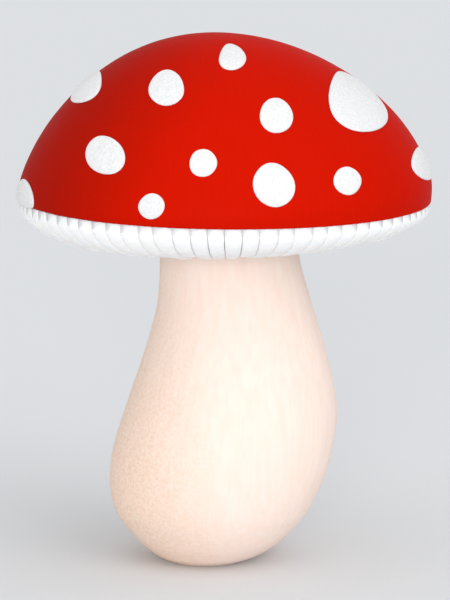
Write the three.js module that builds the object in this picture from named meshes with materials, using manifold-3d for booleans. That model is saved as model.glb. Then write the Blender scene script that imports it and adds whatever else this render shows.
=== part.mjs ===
// A fly agaric mushroom: a domed red cap, white veil warts lying on it, a layer of gills under it, and a
// swollen stem that stands on a small flat at the foot of its bulb.
//
// Millimetres, +Z up. The origin is on the ground, below the middle of the cap.
// The cap, warts and gills share one turned group, because the cap sits a little askew on its stem.

import * as THREE from "three";
import { ParametricGeometry } from "three/addons/geometries/ParametricGeometry.js";
import { mergeVertices } from "three/addons/utils/BufferGeometryUtils.js";
import Module from "manifold-3d";

const wasm = await Module();
wasm.setup();

// ---------- driving dimensions ----------

const GAP = 0.3; // clearance between pieces that touch

// Cap: heights are measured from its widest line.
const CAP_LEVEL = 101.4; // height of the widest line above the ground
const CAP_TILT = THREE.MathUtils.degToRad(-1.5); // the -X side hangs lower
const CAP_RADIUS = 55.5;
const CAP_RISE = 41.7; // from the widest line up to the crown
const CAP_FULLNESS = 1.5; // 2 would be an ellipse, less is a broader shoulder and a flatter crown
const SKIN_CLIMB = 72; // length of the skin from the widest line to the crown
const MARGIN_DEPTH = 2.5; // from the widest line down to the rim, on average
const MARGIN_SLOPE = 2; // the rim is this much lower at +X and higher at -X
const MARGIN_INSET = 0.3; // how far the rim curls in
const RIM_RADIUS = CAP_RADIUS - MARGIN_INSET;

// Gills
const GILLS = 76; // every second one is short
const GILL_DEPTH = 11.5; // of the layer, near the stem
const GILL_ROOF = 1.2; // flesh that the blades hang from
const GILL_SLIT = 0.45; // open space between two blades
const GILL_HOLE = 21; // radius of the free ring round the stem
const SHORT_GILL_START = [31, 37]; // radius where a short blade begins, in turn

// Stem: level circles, each [radius, height, sideways shift]
const STEM_RINGS = [
  [11.2, 0, -5.2],
  [16, 2.5, -4.4],
  [22.1, 8, -3.8],
  [27.2, 16, -3.1],
  [29.6, 28, -0.9],
  [28.6, 42, 1.9],
  [24.9, 56, 2.9],
  [20.9, 70, 2.7],
  [18.7, 84, 1.3],
  [18.9, 98.4, 0.8],
];

// Warts: each [azimuth in degrees, climb of its middle up the skin from the widest line, half its width,
// half its length up the skin, lean in degrees]. Azimuth 0 is +X, and the front of the mushroom is at -90.
const WARTS = [
  [-75.6, 50.8, 3.3, 6.9, -21],
  [-113, 38, 4.5, 6.9, 29],
  [-24, 29, 16.9, 8.2, 17],
  [-168, 35.3, 12.2, 5.2, -8],
  [-69.8, 27.8, 4.2, 5.7, -35],
  [-127.9, 16.6, 7.4, 4.6, -25],
  [-9.5, 7, 13.8, 4.7, -3],
  [-95.6, 15, 3.4, 3.8, 7],
  [-76.4, 8.8, 5.4, 6, 5],
  [-54.3, 7.9, 4.4, 3.7, 20],
  [-162.8, 2.1, 9.4, 4.1, -6],
  [-109.5, 3.6, 3.6, 3.4, 0],
  [47, 42, 5.2, 4.4, 15],
  [33, 19, 6.4, 5.6, -20],
  [54, 29, 4.2, 3.6, 0],
  [57, 6, 4.6, 3.9, 10],
  [79, 48, 6.2, 4.8, -15],
  [80, 22, 7.6, 6.6, 25],
  [99, 36, 4, 3.6, 0],
  [103, 7, 6, 4.8, -10],
  [120, 23, 4.6, 4.2, 20],
  [127, 42, 6.4, 5.4, -25],
  [135, 8, 3.6, 3.4, 0],
  [150, 20, 6.8, 5.8, 15],
  [159, 6, 4, 3.5, 0],
  [20, 8, 3.4, 3.2, 10],
];
const WART_THICKNESS = 1;
const WART_FULLNESS = 0.6; // 1 would be a plain dome, less is flatter on top and steeper at the border
const WART_SWELL = 0.03; // how much its border swells and draws in, as a share of its size

// ---------- finishes ----------

const finish = (color, roughness) =>
  new THREE.MeshStandardMaterial({ color, roughness, metalness: 0 });
const RED_SKIN = finish(0xd41a01, 0.4);
const WHITE_VEIL = finish(0xf4f4f4, 0.85);
const WHITE_GILL = finish(0xffffff, 0.8);
const CREAM_FLESH = finish(0xfef0e5, 0.75);

// ---------- helpers ----------

// A body whose level sections are circles. Each outline point is [radius, height, sideways shift].
function turned(outline, segments) {
  const profile = outline.map(([radius, height]) => new THREE.Vector2(radius, height));
  const geometry = new THREE.LatheGeometry(profile, segments);
  geometry.rotateX(Math.PI / 2);
  const position = geometry.getAttribute("position");
  for (let i = 0; i < position.count; i++)
    position.setX(i, position.getX(i) + outline[i % outline.length][2]);
  return geometry;
}

// Moves every vertex by the given function, which changes the vector it is handed.
function reshaped(geometry, move) {
  const position = geometry.getAttribute("position");
  const point = new THREE.Vector3();
  for (let i = 0; i < position.count; i++) {
    point.fromBufferAttribute(position, i);
    move(point);
    position.setXYZ(i, point.x, point.y, point.z);
  }
  geometry.computeVertexNormals();
  return geometry;
}

function toSolid(geometry) {
  const bare = geometry.clone();
  bare.deleteAttribute("normal");
  bare.deleteAttribute("uv");
  const merged = mergeVertices(bare, 1e-4);
  return new wasm.Manifold(
    new wasm.Mesh({
      numProp: 3,
      vertProperties: new Float32Array(merged.getAttribute("position").array),
      triVerts: new Uint32Array(merged.index.array),
    }),
  );
}

function toGeometry(solid) {
  const mesh = solid.getMesh();
  const geometry = new THREE.BufferGeometry();
  geometry.setAttribute("position", new THREE.BufferAttribute(mesh.vertProperties, 3));
  geometry.setIndex(new THREE.BufferAttribute(mesh.triVerts, 1));
  geometry.computeVertexNormals();
  return geometry;
}

function piece(name, geometry, material) {
  const mesh = new THREE.Mesh(geometry, material);
  mesh.name = name;
  return mesh;
}

// ---------- cap ----------

// The dome's level circle at a share of the rise, 0 at the widest line and 1 at the crown.
function domeRing(share) {
  const radius = CAP_RADIUS * Math.sqrt(Math.max(0, 1 - share ** CAP_FULLNESS));
  const shift = 1.2 * share - 2.4 * share ** 2 - 1.9 * share ** 3; // the crown leans to -X
  return [radius, CAP_RISE * share, shift];
}

// How much lower than average the rim is at x.
const marginDrop = (x) => (MARGIN_SLOPE * x) / RIM_RADIUS;

function capGeometry() {
  const marginSteps = 3;
  const domeSteps = 15;
  const outline = [[0, -MARGIN_DEPTH, 0]];
  for (let i = marginSteps; i > 0; i--) {
    const down = i / marginSteps;
    outline.push([CAP_RADIUS - MARGIN_INSET * down ** 2, -MARGIN_DEPTH * down, 0]);
  }
  for (let i = 0; i <= domeSteps; i++)
    outline.push(domeRing(Math.sin((i / domeSteps) * (Math.PI / 2))));
  return reshaped(turned(outline, 56), (point) => {
    if (point.z < 0) point.z -= marginDrop(point.x) * (-point.z / MARGIN_DEPTH);
  });
}

// A point of the cap's skin. A climb below 0 is on the margin, under the widest line.
function skinPoint(azimuth, climb) {
  const share = Math.sin((Math.max(climb, 0) / SKIN_CLIMB) * (Math.PI / 2));
  const down = Math.max(-climb, 0) / MARGIN_DEPTH;
  const [domeRadius, height, shift] = domeRing(share);
  const radius = domeRadius - MARGIN_INSET * down ** 2;
  const x = shift + radius * Math.cos(azimuth);
  const z = height - (MARGIN_DEPTH + marginDrop(x)) * down;
  return new THREE.Vector3(x, radius * Math.sin(azimuth), z);
}

function skinNormal(azimuth, climb) {
  const step = 0.01;
  const here = skinPoint(azimuth, climb);
  const around = skinPoint(azimuth + step, climb).sub(here);
  const upward = skinPoint(azimuth, climb + step).sub(here);
  return around.cross(upward).normalize();
}

// ---------- gills ----------

// Height of the blades' lower edge at a radius, in the cap's frame.
const gillEdge = (radius) =>
  -MARGIN_DEPTH - GAP - GILL_DEPTH * (1 - (radius / RIM_RADIUS) ** 3.5) ** (1 / 2.2);

function gillGeometry() {
  const top = -MARGIN_DEPTH - GAP;
  const edgeSteps = 8;
  const outline = [[GILL_HOLE, top, 0], [GILL_HOLE, gillEdge(GILL_HOLE), 0]];
  for (let i = 1; i < edgeSteps; i++) {
    const turn = (i / edgeSteps) * (Math.PI / 2);
    const radius = GILL_HOLE + (RIM_RADIUS - GILL_HOLE) * Math.sin(turn);
    outline.push([radius, gillEdge(radius), 0]);
  }
  outline.push([RIM_RADIUS, top, 0]);
  outline.push([GILL_HOLE, top, 0]);
  let layer = toSolid(turned(outline, GILLS));

  const pitch = (2 * Math.PI) / GILLS;
  const floor = top - 2 * GILL_DEPTH;
  const height = top - GILL_ROOF - floor;
  for (let i = 0; i < GILLS; i++) {
    const length = CAP_RADIUS - GILL_HOLE + 10;
    const slit = new THREE.BoxGeometry(length, GILL_SLIT, height);
    slit.translate(GILL_HOLE - 2 + length / 2, 0, floor + height / 2);
    slit.rotateZ(i * pitch);
    layer = layer.subtract(toSolid(slit));
  }
  // The space that a short blade leaves open near the stem.
  for (let i = 0; i < GILLS; i += 2) {
    const near = GILL_HOLE - 2;
    const far = SHORT_GILL_START[(i / 2) % SHORT_GILL_START.length];
    const halfWidth = (radius) => radius * Math.tan(pitch / 2) + GILL_SLIT / 4;
    const plan = new THREE.Shape([
      new THREE.Vector2(near, -halfWidth(near)),
      new THREE.Vector2(far, -halfWidth(far)),
      new THREE.Vector2(far, halfWidth(far)),
      new THREE.Vector2(near, halfWidth(near)),
    ]);
    const opening = new THREE.ExtrudeGeometry(plan, { depth: height, bevelEnabled: false });
    opening.translate(0, 0, floor);
    opening.rotateZ((i + 0.5) * pitch);
    layer = layer.subtract(toSolid(opening));
  }
  // The layer follows the rim's slope at its top and is level at its lowest edge.
  return reshaped(toGeometry(layer), (point) => {
    const share = Math.max(0, 1 + (point.z - top) / GILL_DEPTH);
    point.z -= marginDrop(point.x) * share;
  });
}

// ---------- stem ----------

function stemGeometry() {
  const curve = new THREE.CatmullRomCurve3(
    STEM_RINGS.map(([radius, height, shift]) => new THREE.Vector3(radius, height, shift)),
    false,
    "catmullrom",
  );
  const outline = curve.getPoints(22).map((point) => [point.x, point.y, point.z]);
  const [foot, head] = [outline[0], outline.at(-1)];
  outline.unshift([0, foot[1], foot[2]]);
  outline.push([0, head[1], head[2]]);
  return turned(outline, 48);
}

// ---------- warts ----------

// A patch with an uneven oval border, lying on the skin: its underside keeps the gap, and its top rises
// from the border to the full thickness. The oval is turned on the skin by its lean.
function wartGeometry([azimuth, climb, halfWidth, halfLength, lean], index) {
  const middle = THREE.MathUtils.degToRad(azimuth);
  const [ringRadius] = domeRing(Math.sin((climb / SKIN_CLIMB) * (Math.PI / 2)));
  const under = 0.25; // share of the way from the underside's middle, over the border, to the top's middle
  const offset = new THREE.Vector2();
  const patch = (u, v, target) => {
    const turn = 2 * Math.PI * u;
    const uneven = 1 + WART_SWELL * (Math.sin(2 * turn + index) + Math.sin(3 * turn + 2.4 * index));
    const onTop = v > under;
    const slope = ((1 - v) / (1 - under)) * (Math.PI / 2); // 0 in the middle, a quarter turn at the border
    const spread = (onTop ? Math.sin(slope) : v / under) * uneven;
    offset.set(halfWidth * Math.cos(turn), halfLength * Math.sin(turn)).multiplyScalar(spread);
    offset.rotateAround(new THREE.Vector2(), THREE.MathUtils.degToRad(lean));
    const around = middle + offset.x / ringRadius;
    const up = climb + offset.y;
    const lift = GAP + (onTop ? WART_THICKNESS * Math.cos(slope) ** WART_FULLNESS : 0);
    target.copy(skinPoint(around, up)).addScaledVector(skinNormal(around, up), lift);
  };
  return new ParametricGeometry(patch, 14, 8);
}

// ---------- the mushroom ----------

const head = new THREE.Group();
head.position.z = CAP_LEVEL;
head.rotation.y = CAP_TILT;
head.add(piece("cap", capGeometry(), RED_SKIN));
head.add(piece("gills", gillGeometry(), WHITE_GILL));
WARTS.forEach((wart, index) => {
  const name = "wart_" + String(index + 1).padStart(2, "0");
  head.add(piece(name, wartGeometry(wart, index), WHITE_VEIL));
});

const mushroom = new THREE.Group();
mushroom.add(head);
mushroom.add(piece("stem", stemGeometry(), CREAM_FLESH));

export default mushroom;
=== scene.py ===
# %% [markdown]
# # A fly agaric
#
# A fly agaric is four things: a domed cap with a thin red skin, scraps of white veil lying on that
# skin, a ring of white gills hanging under it, and a pale stem that swells to a bulb where it met the
# ground. Its plain solids are already designed to size. Here each one gets the surface of the living
# thing, worked out as a formula, and a finish of its own.

# %% Load the frame
import bpy
import numpy as np
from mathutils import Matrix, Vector


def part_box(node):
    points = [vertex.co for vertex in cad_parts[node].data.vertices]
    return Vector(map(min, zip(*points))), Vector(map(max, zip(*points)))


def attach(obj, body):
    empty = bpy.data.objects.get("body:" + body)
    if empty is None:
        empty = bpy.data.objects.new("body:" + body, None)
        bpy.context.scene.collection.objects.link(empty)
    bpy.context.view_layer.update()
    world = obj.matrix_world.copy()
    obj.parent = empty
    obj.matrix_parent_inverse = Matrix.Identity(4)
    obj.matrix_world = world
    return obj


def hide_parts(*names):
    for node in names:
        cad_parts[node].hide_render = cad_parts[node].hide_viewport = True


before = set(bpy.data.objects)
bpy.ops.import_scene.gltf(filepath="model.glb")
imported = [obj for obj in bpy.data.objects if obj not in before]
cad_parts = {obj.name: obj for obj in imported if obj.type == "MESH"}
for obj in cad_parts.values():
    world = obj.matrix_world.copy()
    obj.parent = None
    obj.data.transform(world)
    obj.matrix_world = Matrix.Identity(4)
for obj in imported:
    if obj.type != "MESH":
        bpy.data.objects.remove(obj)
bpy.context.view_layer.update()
warts = sorted(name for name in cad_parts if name.startswith("wart"))

# %% [markdown]
# ## Working in millimetres
#
# Blender counts in metres and a mushroom is easier to think of in millimetres, so every size below is
# in millimetres, and the last step before a mesh is made divides by a thousand. A piece's points are
# kept as an array of rings: each row is one closed ring round the piece, and the rings follow each
# other along it. That covers a cap, a stem, a wart and a gill blade alike.

# %% Rings of points to a mesh
MM_PER_METRE = 1000


def skin_rings(rings):
    """Joins neighbouring rings with four-sided faces, and closes each end with a fan of triangles to
    the middle of its ring. A single ring gets one fan, which makes a flat disc. Rings that turn
    anticlockwise, seen from the last one, give faces that look outwards."""
    rows, columns = rings.shape[:2]
    here = np.arange(columns)
    beside = (here + 1) % columns
    start = np.arange(rows - 1)[:, None] * columns
    quads = np.stack([start + here, start + beside, start + beside + columns, start + here + columns], -1)
    first = np.full(columns, rows * columns)
    last = first + 1
    top = (rows - 1) * columns
    fans = [np.stack([first, beside, here], -1), np.stack([last, top + here, top + beside], -1)]
    if rows == 1:
        fans = fans[1:]
    points = np.concatenate([rings.reshape(-1, 3), [rings[0].mean(0)], [rings[-1].mean(0)]])
    return points, [*quads.reshape(-1, 4).tolist(), *np.concatenate(fans).tolist()]


def make_piece(name, shells, material):
    """One object from one or more arrays of rings, in millimetres, smooth shaded."""
    points, faces = [], []
    for rings in shells:
        shell_points, shell_faces = skin_rings(rings)
        shift = sum(len(p) for p in points)
        points.append(shell_points / MM_PER_METRE)
        faces += [[corner + shift for corner in face] for face in shell_faces]
    mesh = bpy.data.meshes.new(name)
    mesh.from_pydata(np.concatenate(points).tolist(), [], faces)
    mesh.shade_smooth()
    mesh.materials.append(material)
    piece = bpy.data.objects.new(name, mesh)
    bpy.context.scene.collection.objects.link(piece)
    print(name, len(mesh.vertices), "points")
    return piece


def keep_on_points(piece, name, values):
    """Stores a three-number attribute on the piece's points, with the rings' own order, and repeats
    the end rings' means for the two closing points."""
    flat = np.concatenate([values.reshape(-1, 3), [values[0].mean(0)], [values[-1].mean(0)]])
    attribute = piece.data.attributes.new(name, "FLOAT_VECTOR", "POINT")
    attribute.data.foreach_set("vector", flat.astype(np.float32).ravel())


# %% [markdown]
# ## Uneven like a living thing
#
# Nothing that grows is exactly round. One noise function gives every piece its small swells, fibres and
# crumbs: random heights sit on the corners of a lattice, and a point between them takes a smooth blend of
# the eight around it. The heights come from whole-number arithmetic on the corner's place, so the same
# mushroom grows every time. Stretching the points first turns round bumps into long fibres.

# %% Noise
CORNER_MIX = (73856093, 19349663, 83492791)
SEED_MIX = 2654435761
LAST_MIX = 1274126177
KEEP_32_BITS = 0xFFFFFFFF
KEEP_16_BITS = 0xFFFF


def bumps(points, size, seed=0):
    """Noise from -1 to 1 over points in millimetres, its bumps about size across. Each lattice corner's
    number is mixed from its three indices and the seed, by big odd multipliers and shifts, and the blend
    between corners eases in and out."""
    cell = points / size
    low = np.floor(cell).astype(np.int64)
    part = cell - low
    part = part * part * (3 - 2 * part)
    total = np.zeros(points.shape[:-1])
    for corner in np.ndindex(2, 2, 2):
        mixed = ((low + corner) * CORNER_MIX).sum(-1) + SEED_MIX * (seed + 1)
        mixed = ((mixed ^ (mixed >> 13)) & KEEP_32_BITS) * LAST_MIX & KEEP_32_BITS
        height = 2 * ((mixed ^ (mixed >> 16)) & KEEP_16_BITS) / KEEP_16_BITS - 1
        total += height * np.prod(np.where(corner, part, 1 - part), -1)
    return total


def ease(low, high, value):
    """0 below low, 1 above high, and a smooth rise between."""
    share = np.clip((value - low) / (high - low), 0, 1)
    return share * share * (3 - 2 * share)


# %% [markdown]
# ## Finishes
#
# Every finish is one Principled shader. A colour is given as the hex value that a screen shows and turned
# to the linear value that light is worked out with. One helper adds a node, sets its values and makes its
# links, so that each material reads as a short list.

# %% Material helpers
def linear(hex_colour):
    """The linear red, green, blue and alpha of an sRGB hex colour."""
    share = np.array([int(hex_colour[i : i + 2], 16) for i in (1, 3, 5)]) / 255
    light = np.where(share <= 0.04045, share / 12.92, ((share + 0.055) / 1.055) ** 2.4)
    return (*light.tolist(), 1.0)


def add(material, kind, inputs=None, **settings):
    """Adds a node. Settings are its own properties; inputs maps a socket's name or number to a value,
    or to the output socket that feeds it."""
    node = material.node_tree.nodes.new("ShaderNode" + kind)
    for name, value in settings.items():
        setattr(node, name, value)
    for name, value in (inputs or {}).items():
        if isinstance(value, bpy.types.NodeSocket):
            material.node_tree.links.new(value, node.inputs[name])
        else:
            node.inputs[name].default_value = value
    return node


def new_material(name, **shader_inputs):
    """A material with a Principled shader, its constant values set on the shader's own sockets."""
    material = bpy.data.materials.new(name)
    material.use_nodes = True
    shader = material.node_tree.nodes["Principled BSDF"]
    for socket, value in shader_inputs.items():
        shader.inputs[socket.replace("_", " ")].default_value = value
    return material, shader


def join(material, output, node, socket):
    """Links an output to one of a node's sockets."""
    material.node_tree.links.new(output, node.inputs[socket])


def blend(material, share, first, second):
    """A colour between two, by a share from 0 to 1. Each colour is a hex value or a socket."""
    first, second = [linear(c) if isinstance(c, str) else c for c in (first, second)]
    return add(material, "Mix", {0: share, 6: first, 7: second}, data_type="RGBA").outputs[2]


def ramp(material, value, low, high):
    """A share that rises smoothly from 0 at low to 1 at high."""
    inputs = {"Value": value, "From Min": low, "From Max": high}
    return add(material, "MapRange", inputs, interpolation_type="SMOOTHSTEP").outputs["Result"]


def per_mm(size):
    """The Scale of a noise texture on coordinates in metres whose bumps are size millimetres across."""
    return MM_PER_METRE / size


# %% [markdown]
# ## The stage
#
# A plain pale floor, as in a product studio, and an even sky. The floor's colour is chosen so that, lit,
# it is as bright as the sky, and the two meet without a line. The key light comes softly from the right
# front and above, which leaves the left of the cap and stem in gentle shade. Gills face down, where no
# sky reaches them, so a second light shines in low under the cap from the front. A weak one overhead
# lifts the crown, and the sky fills the rest. All are far away and wide, like big soft boxes, so the
# floor is lit evenly all round.

# %% Floor, lights and camera
def turned(radii, heights, columns):
    """Level rings: each point lies at its ring's radius, a share of the turn round the axis."""
    turn = np.linspace(0, 2 * np.pi, columns, endpoint=False)
    x = radii[:, None] * np.cos(turn)
    y = radii[:, None] * np.sin(turn)
    return np.stack([x, y, np.repeat(heights[:, None], columns, 1)], -1)


FLOOR_RADIUS = 6000
paper, paper_shader = new_material("studio_paper", Roughness=0.9, Specular_IOR_Level=0)
paper_shader.inputs["Base Color"].default_value = linear("#DFE0E1")
FLOOR_COLUMNS = 96
one_ring = turned(np.array([FLOOR_RADIUS]), np.zeros(1), FLOOR_COLUMNS)
floor = make_piece("studio_floor", [one_ring], paper)

SKY_STRENGTH = 0.8
world = bpy.data.worlds.new("studio_sky")
world.use_nodes = True
sky = world.node_tree.nodes["Background"]
sky.inputs["Color"].default_value = linear("#F5F7FA")
sky.inputs["Strength"].default_value = SKY_STRENGTH
bpy.context.scene.world = world
bpy.context.scene.view_settings.view_transform = "Standard"


def soft_light(name, towards, brightness, spread):
    """A distant soft light: parallel light from one direction, spread over a wide angle in degrees. Its
    brightness is what it adds to a white surface that faces it."""
    lamp = bpy.data.lights.new(name, "SUN")
    lamp.energy = np.pi * brightness
    lamp.angle = np.radians(spread)
    light = bpy.data.objects.new(name, lamp)
    light.location = towards
    light.rotation_euler = Vector(towards).to_track_quat("Z", "Y").to_euler()
    bpy.context.scene.collection.objects.link(light)


soft_light("key", (0.85, -0.95, 0.7), brightness=0.17, spread=40)
soft_light("low_fill", (-0.15, -1.5, 0.16), brightness=0.53, spread=24)
soft_light("overhead", (0.2, -0.3, 1), brightness=0.12, spread=60)

LENS = 180
CAMERA_DISTANCE = 0.8085
CAMERA_RISE = np.radians(10.2)
camera = bpy.data.objects.new("camera", bpy.data.cameras.new("camera"))
camera.data.lens = LENS
look_at = Vector((0.0002, 0, 0.0711))
back = Vector((0, -np.cos(CAMERA_RISE), np.sin(CAMERA_RISE)))
camera.location = look_at + back * CAMERA_DISTANCE
camera.rotation_euler = back.to_track_quat("Z", "Y").to_euler()
bpy.context.scene.collection.objects.link(camera)
bpy.context.scene.camera = camera

# %% [markdown]
# ## The cap's shape
#
# The cap is nearly a turned dome, so it could be spun from a profile. Two things are missing from a spin:
# the crown leans a little to one side, and the rim is not level. So the dome is written as level rings
# whose middle shifts with height, and the rim's drop changes from side to side. The same formula places
# the warts later. Low lumps, pits and pores and the faint grooves above the gills are added along the
# surface's own normal: the four amounts are heights in millimetres.

# %% Cap surface
low, high = [np.array(corner) * MM_PER_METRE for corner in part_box("cap")]
CAP_RADIUS = (high[0] - low[0]) / 2
CAP_TILT = np.radians(-1.5)
CAP_LEVEL = 101.4
CAP_RISE = 41.7
FULLNESS = 1.5
SKIN_CLIMB = 72
MARGIN_DEPTH = 2.5
MARGIN_SLOPE = 2
MARGIN_INSET = 0.3
RIM_RADIUS = CAP_RADIUS - MARGIN_INSET
CROWN_SHIFT = (1.2, -2.4, -1.9)


def on_stem(points):
    """From the cap's own frame, level with its widest line, to its place on the stem: a small turn
    about Y and a lift."""
    x, y, z = np.moveaxis(points, -1, 0)
    turned_x = x * np.cos(CAP_TILT) + z * np.sin(CAP_TILT)
    turned_z = -x * np.sin(CAP_TILT) + z * np.cos(CAP_TILT)
    return np.stack([turned_x, y, turned_z + CAP_LEVEL], -1)


def margin_drop(x):
    """How much lower than average the rim is at x: it falls steadily from left to right."""
    return MARGIN_SLOPE * x / RIM_RADIUS


def dome_ring(share):
    """Radius and sideways shift of the dome's level circle at a share of its rise. The shift is a cubic
    in the share, in millimetres."""
    radius = CAP_RADIUS * np.sqrt(np.maximum(0, 1 - share**FULLNESS))
    return radius, sum(term * share ** (power + 1) for power, term in enumerate(CROWN_SHIFT))


def skin_point(azimuth, climb):
    """A point of the skin in the cap's frame, from its azimuth and its climb in millimetres from the
    widest line. The climb turns a quarter circle into a share of the rise; below 0 it goes straight
    down the margin."""
    share = np.sin(np.maximum(climb, 0) / SKIN_CLIMB * np.pi / 2)
    radius, shift = dome_ring(share)
    down = np.minimum(climb, 0)
    radius = radius - MARGIN_INSET * (down / MARGIN_DEPTH) ** 2
    x = shift + radius * np.cos(azimuth)
    z = CAP_RISE * share + down + margin_drop(x) * down / MARGIN_DEPTH
    return np.stack([x, radius * np.sin(azimuth), z], -1)


NORMAL_STEP = 0.02


def skin_normal(azimuth, climb):
    """The outward direction: across a small step round the cap and a small step up it."""
    step = NORMAL_STEP
    around = skin_point(azimuth + step, climb) - skin_point(azimuth - step, climb)
    upward = skin_point(azimuth, climb + step) - skin_point(azimuth, climb - step)
    across = np.cross(around, upward)
    return across / np.linalg.norm(across, axis=-1, keepdims=True)


CAP_COLUMNS = 448
RIM_ROWS = 24
DOME_ROWS = 140
CROWN_HOLE = 0.25
ROLL = 0.5
NEAR_RIM = 6
STRIPES = 152
LUMPS, PITS, PORES, GROOVES = 0.16, 0.08, 0.02, 0.05
azimuth = np.linspace(0, 2 * np.pi, CAP_COLUMNS, endpoint=False)
rim_depth = MARGIN_DEPTH + margin_drop(CAP_RADIUS * np.cos(azimuth))
lowest = MARGIN_DEPTH * (ROLL / rim_depth - 1)
rows = np.linspace(0, 1, RIM_ROWS)[:-1, None]
low_climbs = lowest + (NEAR_RIM - lowest) * rows
high_climbs = np.linspace(NEAR_RIM, SKIN_CLIMB - CROWN_HOLE, DOME_ROWS)[:, None] + 0 * azimuth
climbs = np.concatenate([low_climbs, high_climbs])
azimuths = azimuth + 0 * climbs
smooth_skin = skin_point(azimuths, climbs)
striped = 1 - ease(0, 1.5 * NEAR_RIM, climbs)
relief = (
    LUMPS * bumps(smooth_skin, 26, 1)
    + PITS * bumps(smooth_skin, 9, 2)
    + PORES * bumps(smooth_skin, 2.2, 3)
    + GROOVES * striped * np.cos(STRIPES * azimuths + 3 * bumps(smooth_skin, 12, 4))
)
skin = smooth_skin + relief[..., None] * skin_normal(azimuths, climbs)

rim_turn = np.linspace(0, np.pi / 2, 7)[:-1, None, None]
outward = np.stack([np.cos(azimuth), np.sin(azimuth), 0 * azimuth], -1)
rolled = skin[0] - ROLL * outward * (1 - np.sin(rim_turn)) - (0, 0, ROLL) * np.cos(rim_turn)
middle_under = np.array([0, 0, -MARGIN_DEPTH])
flat_under = middle_under + (rolled[0] - middle_under) * np.linspace(0.06, 0.98, 5)[:, None, None]
cap_rings = on_stem(np.concatenate([flat_under, rolled, skin]))
print("cap rings", cap_rings.shape, "height", cap_rings[..., 2].max().round(2), "frame", high[2].round(2))

# %% [markdown]
# ## The red skin
#
# The cap wears a thin dry skin over white flesh. Its red is a pigment in the skin and not a coating, so it
# has no clear second layer: only the faintest sheen and fine radial fibres. Its left and upper left are
# painted a deeper crimson as painted shade, fading out with a fine grain. Fibres run from crown to rim,
# so they read an attribute that holds the direction from the crown, squeezed along the climb, and not
# plain space.

# %% Cap material
red_skin, shader = new_material("amanita_cuticle", Roughness=0.5, IOR=1.42, Specular_IOR_Level=0.015)
grain = add(red_skin, "Attribute", attribute_name="grain").outputs["Vector"]
place = add(red_skin, "TexCoord").outputs["Object"]
fibres = add(red_skin, "TexNoise", {"Vector": grain, "Scale": per_mm(0.9), "Detail": 3}).outputs["Fac"]
clouds = add(red_skin, "TexNoise", {"Vector": place, "Scale": per_mm(16), "Detail": 4}).outputs["Fac"]
grit = add(red_skin, "TexNoise", {"Vector": place, "Scale": per_mm(0.6), "Detail": 2}).outputs["Fac"]
# Painted shade: the cap's left and upper left are painted a deeper crimson, #A31304, fading out with a fine
# grain.
side = add(red_skin, "VectorMath", {0: place, 1: (1, 0, -0.55)}, operation="DOT_PRODUCT").outputs["Value"]
wander = add(red_skin, "Math", {0: clouds, 1: 0.012, 2: side}, operation="MULTIPLY_ADD").outputs[0]
speckle = add(red_skin, "Math", {0: grit, 1: 0.012, 2: wander}, operation="MULTIPLY_ADD").outputs[0]
clear_of_painted_shade = ramp(red_skin, speckle, -0.096, -0.060)
red = blend(red_skin, clear_of_painted_shade, "#A31304", "#C21301")
streaks = add(red_skin, "MapRange", {"Value": fibres, "From Min": 0.4, "From Max": 0.75, "To Max": 0.16})
red = blend(red_skin, streaks.outputs["Result"], red, "#B01003")
join(red_skin, red, shader, "Base Color")
shine = add(red_skin, "MapRange", {"Value": clouds, "To Min": 0.42, "To Max": 0.56}).outputs["Result"]
join(red_skin, shine, shader, "Roughness")
fine = add(red_skin, "Bump", {"Height": fibres, "Strength": 0.2, "Distance": 0.0002}).outputs[0]
pits = add(red_skin, "Bump", {"Height": grit, "Strength": 0.15, "Distance": 0.0002, "Normal": fine})
join(red_skin, pits.outputs[0], shader, "Normal")

cap = make_piece("red_cap", [cap_rings], red_skin)
GRAIN_RADIUS = 55
GRAIN_SQUEEZE = 0.08
x_out, y_out = np.cos(azimuths) * GRAIN_RADIUS, np.sin(azimuths) * GRAIN_RADIUS
direction = np.stack([x_out, y_out, climbs * GRAIN_SQUEEZE], -1) / MM_PER_METRE
filler = np.repeat(direction[:1], len(flat_under) + len(rolled), 0)
keep_on_points(cap, "grain", np.concatenate([filler, direction]))
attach(cap, "root")
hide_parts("cap")

# %% [markdown]
# ## The gills
#
# Under the cap hang blades of flesh, side by side all round, free of the stem. Every second one is short
# and starts further out. A blade is a thin upright plate: its section is a tall oval with squared sides
# and a rounded free edge, and that section is carried outwards along a radius while its height follows
# the layer's curve. A plain ring with grooves would hide the depth between the blades, so each blade is
# built whole. Neighbours share a seam that wavers, and each stands back from it by half the gap, so that
# they never touch, however unevenly they grew.

# %% Gill blades
GILLS = 76
GILL_DEPTH = 11.5
PITCH = 2 * np.pi / GILLS
GILL_HOLE = 21
GILL_ROOT = 1.2
SHORT_START = (31, 37)
SHORT_HEEL, LONG_HEEL = 9, 3.5
BLADE_STEPS = 46
BEFORE_RIM = 0.35
LEAST_DEPTH = 0.3
SEAM_WAVER = 0.09
RIM_GAP, GAP_GROWTH = 0.06, 0.012
EDGE_POWER, SIDE_POWER = 0.2, 0.13
SECTION = np.linspace(0, 2 * np.pi, 18, endpoint=False)


def layer_depth(radius):
    """Depth of the gill layer below the rim's level: nearly flat near the stem, rounding up to nothing
    at the rim."""
    return GILL_DEPTH * np.maximum(0, 1 - (radius / RIM_RADIUS) ** 3.5) ** (1 / 2.2)


def seam(number, radius):
    """Azimuth of the gap before a blade, at a radius: an even share of the turn, plus a slow waver."""
    number = number % GILLS
    spot = np.stack([number * 17 + 0 * radius, radius, 0 * radius + number], -1)
    return (number + SEAM_WAVER * bumps(spot, 9, 13)) * PITCH


def squared(wave, power):
    """A sine or cosine raised to a small power with its sign kept, which squares an oval off."""
    return np.sign(wave) * np.abs(wave) ** power


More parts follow.
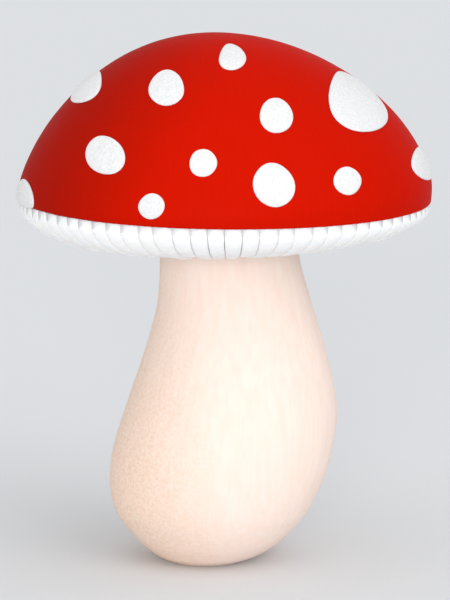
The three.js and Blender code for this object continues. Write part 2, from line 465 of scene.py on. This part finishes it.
def gill_blades():
    """All the blades in one array: blade, step outwards, corner of the section, and x, y and z. The section
    is a squared oval. Its height swells from the heel like a quarter circle, its root is set into the cap,
    and the gap beside it widens towards the stem."""
    number = np.arange(GILLS)[:, None, None]
    start = np.where(number % 2 == 0, np.where(number % 4 == 0, *SHORT_START), GILL_HOLE)
    heel = np.where(number % 2 == 0, SHORT_HEEL, LONG_HEEL)
    outer = RIM_RADIUS - BEFORE_RIM
    share = (1 - np.cos(np.linspace(0, np.pi, BLADE_STEPS)))[None, :, None] / 2
    radius = start + (outer - start) * share
    swell = np.sqrt(1 - np.clip(1 - (radius - start) / heel, 0, 0.998) ** 2)
    before = seam(number, radius)
    after = seam(number + 1, radius) + np.where(number == GILLS - 1, 2 * np.pi, 0)
    middle = (before + after) / 2
    along = np.stack([radius * np.cos(middle), radius * np.sin(middle), 0 * radius], -1)
    uneven = 1 + 0.02 * bumps(along, 5, 11) + 0.01 * bumps(along, 1.5, 12)
    depth = LEAST_DEPTH + layer_depth(radius) * swell * uneven
    drop = (depth + GILL_ROOT) / 2 * (squared(np.sin(SECTION), EDGE_POWER) - 1) + GILL_ROOT
    gap = RIM_GAP + GAP_GROWTH * (RIM_RADIUS - radius)
    half_width = radius * (after - before) / 2 - gap / 2
    lateral = half_width * squared(np.cos(SECTION), SIDE_POWER)
    x = radius * np.cos(middle) - lateral * np.sin(middle)
    y = radius * np.sin(middle) + lateral * np.cos(middle)
    hang = 1 - np.clip(-drop / GILL_DEPTH, 0, 1)
    return np.stack([x, y, drop - MARGIN_DEPTH - margin_drop(x) * hang], -1)


blades = gill_blades()
print(len(blades), "blades,", blades.shape[1:3], "points each")

# %% [markdown]
# The blades hang from a thin layer of white flesh, which also closes the cap from below. It is a turned
# disc: thin over the stem and thicker over the blades. Its profile runs outwards along the lower face,
# round the edge, and back along the upper one, in millimetres from the rim's level.

# %% Flesh over the gills
ROOF = 1.2
inner, outer = GILL_HOLE - 0.6, RIM_RADIUS - 0.5
roof_radii = np.array([1, 8, inner - 4, inner + 0.5, outer - 5, outer - 1, outer, outer, 1])
roof_heights = np.array([-0.5, -0.5, -0.6, -ROOF, -ROOF, -0.6, -0.1, 0.2, 0.2])
roof = turned(roof_radii, roof_heights - MARGIN_DEPTH, 2 * GILLS)
roof[..., 2] -= margin_drop(roof[..., 0])

# %% [markdown]
# ## Gill flesh
#
# Gill flesh is pure white, matt, and lets a little light through, which softens the lines between the
# blades. Its only pattern is a very fine grain.

# %% Gill material
gill_flesh, shader = new_material("gill_flesh", Roughness=0.8, Specular_IOR_Level=0.25)
shader.inputs["Subsurface Weight"].default_value = 0.5
shader.inputs["Subsurface Scale"].default_value = 0.003
shader.inputs["Subsurface Radius"].default_value = (1.0, 0.85, 0.7)
place = add(gill_flesh, "TexCoord").outputs["Object"]
grain = add(gill_flesh, "TexNoise", {"Vector": place, "Scale": per_mm(1.2), "Detail": 4}).outputs["Fac"]
white = blend(gill_flesh, ramp(gill_flesh, grain, 0.3, 0.7), "#FAF8F4", "#FFFFFF")
join(gill_flesh, white, shader, "Base Color")
nap = add(gill_flesh, "Bump", {"Height": grain, "Strength": 0.12, "Distance": 0.0002})
join(gill_flesh, nap.outputs[0], shader, "Normal")

gills = make_piece("gill_blades", [*on_stem(blades), on_stem(roof)], gill_flesh)
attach(gills, "root")
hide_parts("gills")

# %% [markdown]
# ## The stem
#
# The stem is a pear of fibrous flesh. Its level circles are read from the frame and joined with one smooth
# curve, so radius and sideways shift can't drift from the design. Long shallow fibres, made by stretching
# the noise upwards, and slow swells give it its uneven outline, and the foot stays flat so that it
# stands. Low on the bulb there are crumbs too, where it broke out of the soil.

# %% Stem surface
def points_of(node):
    """A CAD node's points in millimetres."""
    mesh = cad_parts[node].data
    flat = np.zeros(3 * len(mesh.vertices))
    mesh.vertices.foreach_get("co", flat)
    return flat.reshape(-1, 3) * MM_PER_METRE


def smooth_through(knots, count):
    """A Catmull-Rom curve through the knots: between two of them it is a cubic whose slope at each is half
    the way from the knot before to the knot after."""
    padded = np.vstack([2 * knots[0] - knots[1], knots, 2 * knots[-1] - knots[-2]])
    at = np.linspace(0, len(knots) - 1, count)
    piece = np.minimum(at.astype(int), len(knots) - 2)
    t = (at - piece)[:, None]
    before, start, end, after = (padded[piece + i] for i in range(4))
    return 0.5 * (
        2 * start
        + (end - before) * t
        + (2 * before - 5 * start + 4 * end - after) * t**2
        + (3 * start - before - 3 * end + after) * t**3
    )


stem_points = points_of("stem")
levels = np.unique(stem_points[:, 2].round(2))
circles = []
for level in levels:
    ring = stem_points[abs(stem_points[:, 2] - level) < 0.02]
    circles.append([ring[:, 1].max(), level, (ring[:, 0].max() + ring[:, 0].min()) / 2])
outline = smooth_through(np.array(circles), 250)
radii, heights, shifts = outline.T
STEM_COLUMNS = 384
stem = turned(radii, heights, STEM_COLUMNS)
across_axis = stem[..., :2] / np.linalg.norm(stem[..., :2], axis=-1, keepdims=True)
FIBRE = (1, 1, 0.09)
SWELLS, COARSE_FIBRES, FINE_FIBRES, CRUMBS = 0.3, 0.07, 0.04, 0.05
off_foot = ease(0.2, 4, stem[..., 2])
near_foot = 1 - ease(4, 26, stem[..., 2])
relief = off_foot * (
    SWELLS * bumps(stem, 22, 21)
    + COARSE_FIBRES * bumps(stem * FIBRE, 2.6, 22)
    + FINE_FIBRES * bumps(stem * FIBRE, 1.1, 23)
    + CRUMBS * near_foot * bumps(stem, 1.4, 24)
)
stem[..., :2] += across_axis * relief[..., None]
stem[..., 0] += shifts[:, None]


def closing(ring, shares, lift):
    """Level rings inside an end ring, drawn in towards its middle by each share, and lifted."""
    middle = ring.mean(0)
    return middle + (ring - middle) * np.array(shares)[:, None, None] + (0, 0, lift)


foot = closing(stem[0], (0.3, 0.6, 0.9), 0)
head = closing(stem[-1], (0.95, 0.6, 0.3), 0.4)
stem_rings = np.concatenate([foot, stem, head])
print("stem", stem_rings.shape, "widest", (2 * radii.max()).round(1), "mm")

# %% [markdown]
# ## Stem flesh
#
# Cream, matt and dry. Its left side is painted tan as painted shade, reaching further round lower down: a
# soft tint with fine tan specks over it. The specks are noise grains that only show where a slower share
# lets them through.

# %% Stem material
stem_flesh, shader = new_material("stem_flesh", Roughness=0.78, Specular_IOR_Level=0.25)
shader.inputs["Subsurface Weight"].default_value = 0.25
shader.inputs["Subsurface Scale"].default_value = 0.002
shader.inputs["Subsurface Radius"].default_value = (1.0, 0.7, 0.5)
place = add(stem_flesh, "TexCoord").outputs["Object"]
upright = add(stem_flesh, "Mapping", {"Vector": place, "Scale": (1, 1, 0.12)}).outputs[0]
fibres = add(stem_flesh, "TexNoise", {"Vector": upright, "Scale": per_mm(1.6), "Detail": 4}).outputs["Fac"]
grit = add(stem_flesh, "TexNoise", {"Vector": place, "Scale": per_mm(0.8), "Detail": 3}).outputs["Fac"]
clouds = add(stem_flesh, "TexNoise", {"Vector": place, "Scale": per_mm(14), "Detail": 3}).outputs["Fac"]
# Painted shade: the stem's left side, reaching further round lower down, is painted tan, #EED2BC, with
# specks of #E2BB9A over it.
side = add(stem_flesh, "VectorMath", {0: place, 1: (1, 0, 0.12)}, operation="DOT_PRODUCT").outputs["Value"]
wander = add(stem_flesh, "Math", {0: clouds, 1: 0.01, 2: side}, operation="MULTIPLY_ADD").outputs[0]
painted_left_shade = ramp(stem_flesh, wander, 0.012, -0.020)
tinted = add(stem_flesh, "MapRange", {"Value": painted_left_shade, "To Max": 0.55}).outputs["Result"]
specks = add(stem_flesh, "MapRange", {"Value": grit, "From Min": 0.4, "From Max": 0.65}).outputs["Result"]
speckled = add(stem_flesh, "Math", {0: tinted, 1: specks}, operation="MULTIPLY").outputs[0]
cream = blend(stem_flesh, ramp(stem_flesh, fibres, 0.3, 0.7), "#F3DCCF", "#F5E1D6")
cream = blend(stem_flesh, tinted, cream, "#EED2BC")
cream = blend(stem_flesh, speckled, cream, "#E2BB9A")
join(stem_flesh, cream, shader, "Base Color")
fine = add(stem_flesh, "Bump", {"Height": fibres, "Strength": 0.25, "Distance": 0.0003}).outputs[0]
nap = add(stem_flesh, "Bump", {"Height": grit, "Strength": 0.2, "Distance": 0.0002, "Normal": fine})
join(stem_flesh, nap.outputs[0], shader, "Normal")

stem_piece = make_piece("cream_stem", [stem_rings], stem_flesh)
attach(stem_piece, "root")
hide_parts("stem")

# %% [markdown]
# ## The warts
#
# Young, the whole mushroom sits in a white felt veil. As the cap swells the felt tears, and the scraps stay
# on the skin. A scrap is a low pad: steep at its torn border, uneven and crumbly on top. Each one is found
# in the frame, turned into cap coordinates, and rebuilt there as rings: out along its underside, up the
# torn border, and over the top to its middle.

# %% Wart surfaces
THICKNESS = 0.7
SUNK = -0.15
UNDERSIDE = 0.4
MOST = 0.75
BORDER_POINTS = 84
BORDER_WAVE = 0.03


def in_cap(points):
    """The reverse of on_stem: from a place on the stem to the cap's own frame."""
    x, y, z = np.moveaxis(points - (0, 0, CAP_LEVEL), -1, 0)
    level_x = x * np.cos(CAP_TILT) - z * np.sin(CAP_TILT)
    level_z = x * np.sin(CAP_TILT) + z * np.cos(CAP_TILT)
    return np.stack([level_x, y, level_z], -1)


def cap_coordinates(points):
    """Azimuth and climb on the skin of points close to it: the reverse of skin_point."""
    x, y, z = np.moveaxis(in_cap(points), -1, 0)
    share = np.clip(z / CAP_RISE, 0, 1)
    below = z / (1 + margin_drop(x) / MARGIN_DEPTH)
    climb = np.where(z < 0, below, np.arcsin(share) / (np.pi / 2) * SKIN_CLIMB)
    return np.arctan2(y, x - dome_ring(share)[1]), climb


def oval_through(points):
    """Middle of a cloud of flat points, and the matrix that turns a unit circle into the oval round them:
    the square root of their spread, scaled to the usual reach of the border's points."""
    middle = (points.max(0) + points.min(0)) / 2
    shape = np.linalg.cholesky(np.cov((points - middle).T))
    reach = np.linalg.norm(np.linalg.solve(shape, (points - middle).T), axis=0)
    return middle, shape * np.quantile(reach, MOST)


def wart_rings(node, seed):
    """Rings of one scrap of veil. From the middle of its underside they go out to the border, where the
    height over the skin jumps, and over the top to its middle. The border is an oval with slow swells,
    and crumbs of three sizes lie on it all."""
    points = np.unique(points_of(node).round(3), axis=0)
    around, up = cap_coordinates(points)
    above = ((in_cap(points) - skin_point(around, up)) * skin_normal(around, up)).sum(-1)
    around, up = around[above < UNDERSIDE], up[above < UNDERSIDE]
    facing = np.arctan2(np.sin(around).mean(), np.cos(around).mean())
    off = (around - facing + np.pi) % (2 * np.pi) - np.pi
    middle, oval = oval_through(np.stack([off * CAP_RADIUS, up], -1))
    turn = np.linspace(0, 2 * np.pi, BORDER_POINTS, endpoint=False)
    circle = np.stack([np.cos(turn), np.sin(turn)])
    walk = np.linspace(0, 1, 30)
    reach = np.concatenate([[0.4, 0.8], np.cos(np.pi / 2 * walk)]).clip(0.02)[:, None]
    height = np.concatenate([[SUNK, SUNK], THICKNESS * np.sin(np.pi / 2 * walk) ** 0.5])[:, None]
    border = 1 + BORDER_WAVE * bumps(np.stack([*circle, 0 * turn + seed], -1), 0.7, seed)
    flat = np.einsum("ij,jk->ki", oval, circle) * (reach * border)[..., None] + middle
    azimuths, climbs = facing + flat[..., 0] / CAP_RADIUS, flat[..., 1]
    base = skin_point(azimuths, climbs)
    crumbs = sum(
        high * bumps(base, size, seed + step)
        for step, (high, size) in enumerate([(0.12, 2.6), (0.07, 1), (0.04, 0.5)], 1)
    )
    lift = height + crumbs * height.clip(0, 1)
    return on_stem(base + lift[..., None] * skin_normal(azimuths, climbs))


# %% [markdown]
# ## Veil felt
#
# The scraps are dry felt: next to no shine, white, with the hollows of their fine relief painted a warm
# grey as painted shade, and so soft that light scatters just under the surface.

# %% Wart material
veil, shader = new_material("veil_felt", Roughness=0.95, Specular_IOR_Level=0.15)
shader.inputs["Subsurface Weight"].default_value = 0.2
shader.inputs["Subsurface Scale"].default_value = 0.0012
shader.inputs["Subsurface Radius"].default_value = (1.0, 0.9, 0.8)
place = add(veil, "TexCoord").outputs["Object"]
felt = add(veil, "TexNoise", {"Vector": place, "Scale": per_mm(0.7), "Detail": 5}).outputs["Fac"]
# Painted shade: where the felt noise is low, in the hollows of the bump, the white is painted a warmer
# grey.
white = blend(veil, ramp(veil, felt, 0.3, 0.65), "#DBDAD8", "#E5E5E5")
join(veil, white, shader, "Base Color")
nap = add(veil, "Bump", {"Height": felt, "Strength": 0.4, "Distance": 0.0004})
join(veil, nap.outputs[0], shader, "Normal")

for number, node in enumerate(warts):
    scrap = make_piece("veil_scrap_" + node[-2:], [wart_rings(node, 100 + 7 * number)], veil)
    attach(scrap, "root")
    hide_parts(node)
